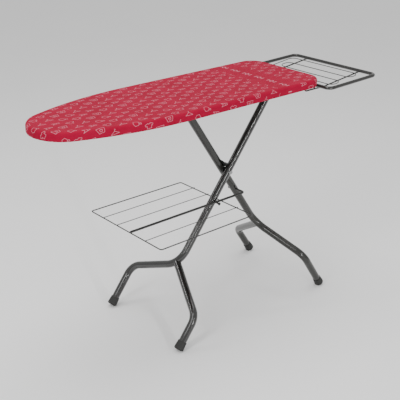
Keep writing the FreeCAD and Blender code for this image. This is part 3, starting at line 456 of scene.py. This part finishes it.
def roundness(index):
    """1 at the nose and the end corners, 0 on the straight sides, at a perimeter index."""
    half_index = index if index <= HALF_STEPS else 2 * HALF_STEPS - index
    distance = OUTLINE.length * half_index / HALF_STEPS
    nose = max(0.0, 1 - distance / NOSE_SOFT_REACH)
    corner_middle = sum(OUTLINE.stretches[:3]) + OUTLINE.stretches[3] / 2
    corner = max(0.0, 1 - abs(distance - corner_middle) / CORNER_SOFT_REACH)
    value = max(nose, corner)
    return value * value * (3 - 2 * value)


def build_rings(name, profile, shift, closed):
    """Mesh of rings round the table. A profile row is (share of the way in, inset, height, cloth distance).

    Share 1 is the ring on the table's middle line, and share 0 follows the outline at the inset.
    """
    mesh = bpy.data.meshes.new(name)
    made = bmesh.new()
    flat_layer = {}
    rows = []
    for share, inset, height, cloth in profile:
        row = []
        for index, (edge, outward) in enumerate(PERIMETER):
            rim = edge - outward * inset
            middle = Vector((min(max(rim.x, MEDIAL_NOSE_X), MEDIAL_END_X), 0, 0))
            point = rim.lerp(middle, share)
            point.z = height
            vert = made.verts.new(point + shift(index, share, inset, point, outward))
            spread = rim.lerp(middle, share) if share > 0 else edge + outward * cloth
            flat_layer[vert] = (spread.x, spread.y)
            row.append(vert)
        rows.append(row)
    count = len(PERIMETER)
    uv_layer = made.loops.layers.uv.new("flat_cloth")
    for upper, lower in zip(rows, rows[1:]):
        for index in range(count):
            following = (index + 1) % count
            face = made.faces.new((upper[index], upper[following], lower[following], lower[index]))
            face.smooth = True
            for loop in face.loops:
                loop[uv_layer].uv = flat_layer[loop.vert]
    bmesh.ops.remove_doubles(made, verts=made.verts, dist=1e-6)
    if closed:
        bmesh.ops.recalc_face_normals(made, faces=made.faces)
    made.to_mesh(mesh)
    made.free()
    piece = bpy.data.objects.new(name, mesh)
    bpy.context.scene.collection.objects.link(piece)
    return piece


# ---------------------------------------------------------------- cover
CLOTH = 1.0 * MM
EDGE_ROUND = 11 * MM
SKIRT = COVER_HIGH.z - COVER_LOW.z
ROLL = 5 * MM
HEM = 22 * MM
CHANNEL = 2.6 * MM
CHANNEL_TURN = 1.75 * math.pi
HEM_LIFT = 1.6 * MM
TOP_RINGS = 12
ROUND_STEPS = 7
SKIRT_STEPS = 4
ROLL_STEPS = 5
CHANNEL_STEPS = 9


def gather(index, waves):
    """Wandering ripple along the hem, between -1 and 1."""
    turn = 2 * math.pi * index / len(PERIMETER)
    wander = 3.0 * math.sin(5 * turn + 1.3) + 2.0 * math.sin(11 * turn + 0.4)
    return 0.6 * math.sin(waves * turn + wander) + 0.4 * math.sin(1.7 * waves * turn - 2 * wander)


def cover_profile():
    """Rows from the table's middle line, over the rounded edge, down the skirt and under to the hem channel."""
    top = COVER_HIGH.z
    rows = [(1 - ring / TOP_RINGS, EDGE_ROUND, top, 0) for ring in range(TOP_RINGS)]
    cloth = -EDGE_ROUND
    for step in range(ROUND_STEPS + 1):
        angle = math.pi / 2 * step / ROUND_STEPS
        rows.append((0, EDGE_ROUND * (1 - math.sin(angle)), top - EDGE_ROUND * (1 - math.cos(angle)),
                     cloth + EDGE_ROUND * angle))
    cloth += EDGE_ROUND * math.pi / 2
    straight = SKIRT - EDGE_ROUND - ROLL
    for step in range(1, SKIRT_STEPS):
        down = straight * step / SKIRT_STEPS
        rows.append((0, 0, top - EDGE_ROUND - down, cloth + down))
    cloth += straight
    for step in range(ROLL_STEPS + 1):
        angle = math.pi / 2 * step / ROLL_STEPS
        rows.append((0, ROLL * (1 - math.cos(angle)), COVER_LOW.z + ROLL * (1 - math.sin(angle)),
                     cloth + ROLL * angle))
    cloth += ROLL * math.pi / 2
    flat_hem = HEM - ROLL - CHANNEL
    for step in range(1, SKIRT_STEPS + 1):
        share = step / SKIRT_STEPS
        rows.append((0, ROLL + flat_hem * share, COVER_LOW.z + HEM_LIFT * share, cloth + flat_hem * share))
    cloth += flat_hem
    centre_inset = ROLL + flat_hem
    centre_height = COVER_LOW.z + HEM_LIFT + CHANNEL
    for step in range(1, CHANNEL_STEPS + 1):
        angle = CHANNEL_TURN * step / CHANNEL_STEPS
        rows.append((0, centre_inset + CHANNEL * math.sin(angle), centre_height - CHANNEL * math.cos(angle),
                     cloth + CHANNEL * angle))
    return rows


# softness of the cloth: sizes of its movements, and how many ripples go round the hem
SWELL = 0.35 * MM
SLACK_IN = 0.5 * MM
SLACK_OUT = 0.5 * MM
HEM_RIPPLE_LOW, HEM_RIPPLE_SOFT = 0.3 * MM, 1.1 * MM
HEM_SAG = 0.8 * MM
HEM_WAVER = 0.8 * MM
SKIRT_RIPPLE = 0.55 * MM
SKIRT_TUCK = 0.45 * MM
LEAST_PULL = 0.25
HEM_WAVES, WAVER_WAVES, SKIRT_WAVES = 120, 87, 64


def cover_shift(index, share, inset, point, outward):
    """Softness of the cloth: faint waves of the felt below, a few slack folds in the skirt, gathers at the hem."""
    if share > 0:
        swell = noise.noise(Vector((point.x * 7, point.y * 9, 3.1)))
        return Vector((0, 0, SWELL * swell - SWELL))
    soft = roundness(index)
    below = min(1.0, max(0.0, (COVER_HIGH.z - point.z) / SKIRT))
    slack = noise.noise(Vector((point.x * 16, point.y * 16, 8.0)))
    move = outward * (SLACK_OUT * (1 + soft) * slack * below - SLACK_IN)
    pull = LEAST_PULL + (1 - LEAST_PULL) * soft
    if inset > ROLL * 0.9 and below > 0.8:
        under = min(1.0, inset / HEM)
        ripple = (HEM_RIPPLE_LOW + HEM_RIPPLE_SOFT * pull) * gather(index, HEM_WAVES)
        move += Vector((0, 0, (ripple + HEM_SAG * pull) * under))
        move += outward * (HEM_WAVER * pull * gather(index, WAVER_WAVES) * under)
    else:
        move += outward * (SKIRT_RIPPLE * pull * gather(index, SKIRT_WAVES) * below ** 2)
        move -= outward * SKIRT_TUCK * pull * below
    return move


def make_cover():
    cover = build_rings("printed_cover", cover_profile(), cover_shift, closed=False)
    thicken = cover.modifiers.new("cloth", "SOLIDIFY")
    thicken.thickness = CLOTH
    thicken.offset = -1
    cover.data.materials.append(printed_cotton("printed_crimson_cotton"))
    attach(cover, "table")
    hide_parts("cover")
    return cover


PAD_LOW, PAD_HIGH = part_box("felt_pad")
PAD_EDGE_ROOM = 0.6 * MM
PAD_TOP_ROOM = 1.6 * MM
PAD_UNDERSIDE = 0.1 * MM
PAD_STILL = 0.5 * MM
PAD_LUMP = 0.3 * MM
PAD_TOP_RINGS = 9
PAD_ROUND_STEPS = 6
PAD_LOW_RINGS = 4


def pad_profile():
    """Closed rows of the felt pad: flat top, soft edge, flat underside."""
    inset = PAD_LOW.x - COVER_LOW.x + PAD_EDGE_ROOM
    thick = PAD_HIGH.z - PAD_LOW.z - PAD_TOP_ROOM
    top = PAD_LOW.z + thick
    rows = [(1 - ring / PAD_TOP_RINGS, inset + thick, top, 0) for ring in range(PAD_TOP_RINGS)]
    for step in range(PAD_ROUND_STEPS + 1):
        angle = math.pi / 2 * step / PAD_ROUND_STEPS
        rows.append((0, inset + thick * (1 - math.sin(angle)), top - thick * (1 - math.cos(angle)), 0))
    for ring in range(1, PAD_LOW_RINGS + 1):
        rows.append((ring / PAD_LOW_RINGS, inset + thick, PAD_LOW.z + PAD_UNDERSIDE, 0))
    return rows


def pad_shift(index, share, inset, point, outward):
    """Lumps of the felt, on all but its underside."""
    if point.z < PAD_LOW.z + PAD_STILL:
        return Vector((0, 0, 0))
    lump = noise.noise(Vector((point.x * 22, point.y * 22, 5.0)))
    return Vector((0, 0, PAD_LUMP * lump))


def make_pad():
    pad = build_rings("felt_layer", pad_profile(), pad_shift, closed=True)
    pad.data.materials.append(FELT)
    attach(pad, "table")
    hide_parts("felt_pad")
    return pad


pad = make_pad()
cover = make_cover()


# ---------------------------------------------------------------- studio
# the strips lie along leg A, so that each shows as one line down its tube
LEG_A_DIRECTION = (0.61, 0, 0.79)
FLOOR_HALF = 14.0


def make_floor():
    size = FLOOR_HALF
    mesh = bpy.data.meshes.new("studio_floor")
    corners = [(-size, -size, 0), (size, -size, 0), (size, size, 0), (-size, size, 0)]
    mesh.from_pydata(corners, [], [(0, 1, 2, 3)])
    mesh.materials.append(floor_paint("pale_floor"))
    floor = bpy.data.objects.new("studio_floor", mesh)
    bpy.context.scene.collection.objects.link(floor)


def make_light(name, place, aim, size, power, along=(0, 0, 1)):
    """Soft rectangular studio light that faces a point, its second side lying along a direction."""
    lamp = bpy.data.lights.new(name, "AREA")
    lamp.shape = "RECTANGLE"
    lamp.size, lamp.size_y = size
    lamp.energy = power
    light = bpy.data.objects.new(name, lamp)
    light.location = place
    back = (Vector(place) - Vector(aim)).normalized()
    side = Vector(along).cross(back).normalized()
    light.rotation_mode = "QUATERNION"
    light.rotation_quaternion = Matrix((side, back.cross(side), back)).transposed().to_quaternion()
    bpy.context.scene.collection.objects.link(light)


def make_world():
    world = bpy.data.worlds.new("studio")
    world.use_nodes = True
    background = world.node_tree.nodes["Background"]
    background.inputs["Color"].default_value = rgb(1.0, 1.0, 1.0)
    background.inputs["Strength"].default_value = 0.8
    bpy.context.scene.world = world


def make_camera():
    """Camera at the viewing angle: left of the nose, a little above the table."""
    yaw, pitch, roll = math.radians(40.914), math.radians(23.672), math.radians(0.15)
    lens = bpy.data.cameras.new("camera")
    lens.sensor_width = 36.0
    lens.lens = 73.70
    camera = bpy.data.objects.new("camera", lens)
    camera.location = (-1.9169, -2.1859, 1.7252)
    ahead = Vector((math.sin(yaw) * math.cos(pitch), math.cos(yaw) * math.cos(pitch), -math.sin(pitch)))
    camera.rotation_mode = "QUATERNION"
    camera.rotation_quaternion = ahead.to_track_quat("-Z", "Y")
    camera.rotation_quaternion @= Euler((0, 0, roll)).to_quaternion()
    bpy.context.scene.collection.objects.link(camera)
    bpy.context.scene.camera = camera


make_floor()
make_light("overhead", (0.2, 0.4, 3.6), (0, 0, 0.6), (1.8, 2.6), 50, (1, 0, 0))
make_light("window_left", (-2.4, -0.6, 2.6), (0, 0, 0.6), (0.4, 2.2), 30)
make_light("strip_right", (-0.45, -2.66, 1.2), (0.1, 0, 0.55), (0.06, 1.95), 26, LEG_A_DIRECTION)
make_light("strip_left", (-1.65, 1.4, 2.2), (0.1, 0, 0.55), (0.05, 1.6), 7, LEG_A_DIRECTION)
make_world()
make_camera()

bpy.context.view_layer.update()
